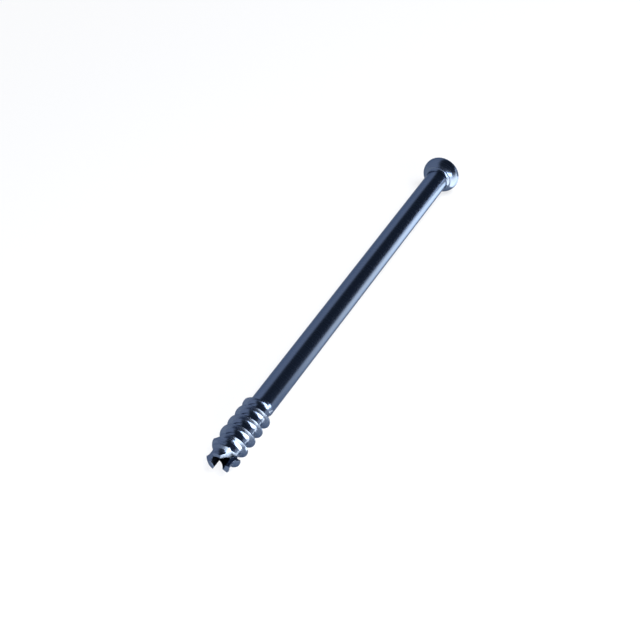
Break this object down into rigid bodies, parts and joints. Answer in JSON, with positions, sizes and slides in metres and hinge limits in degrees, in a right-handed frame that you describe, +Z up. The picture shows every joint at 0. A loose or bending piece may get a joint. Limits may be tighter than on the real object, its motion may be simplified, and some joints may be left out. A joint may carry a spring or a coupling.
{
  "type": "cannulated bone screw",
  "caption": "Cannulated cancellous bone screw: long plain shaft, short coarse thread with self-cutting flutes, ball-seated head with a hex socket, lying on its side.",
  "frame": {"origin": "on the surface that the screw lies on, under the middle of its box", "axes": "+X along the screw from the head to the tip, +Z up; the screw lies on its rim and its thread"},
  "size_m": [0.1, 0.008, 0.008],
  "materials": {
    "titanium": "polished titanium alloy with a thin blue-grey anodised layer"
  },
  "bodies": {
    "root": {"bone_screw": "titanium"}
  },
  "joints": []
}
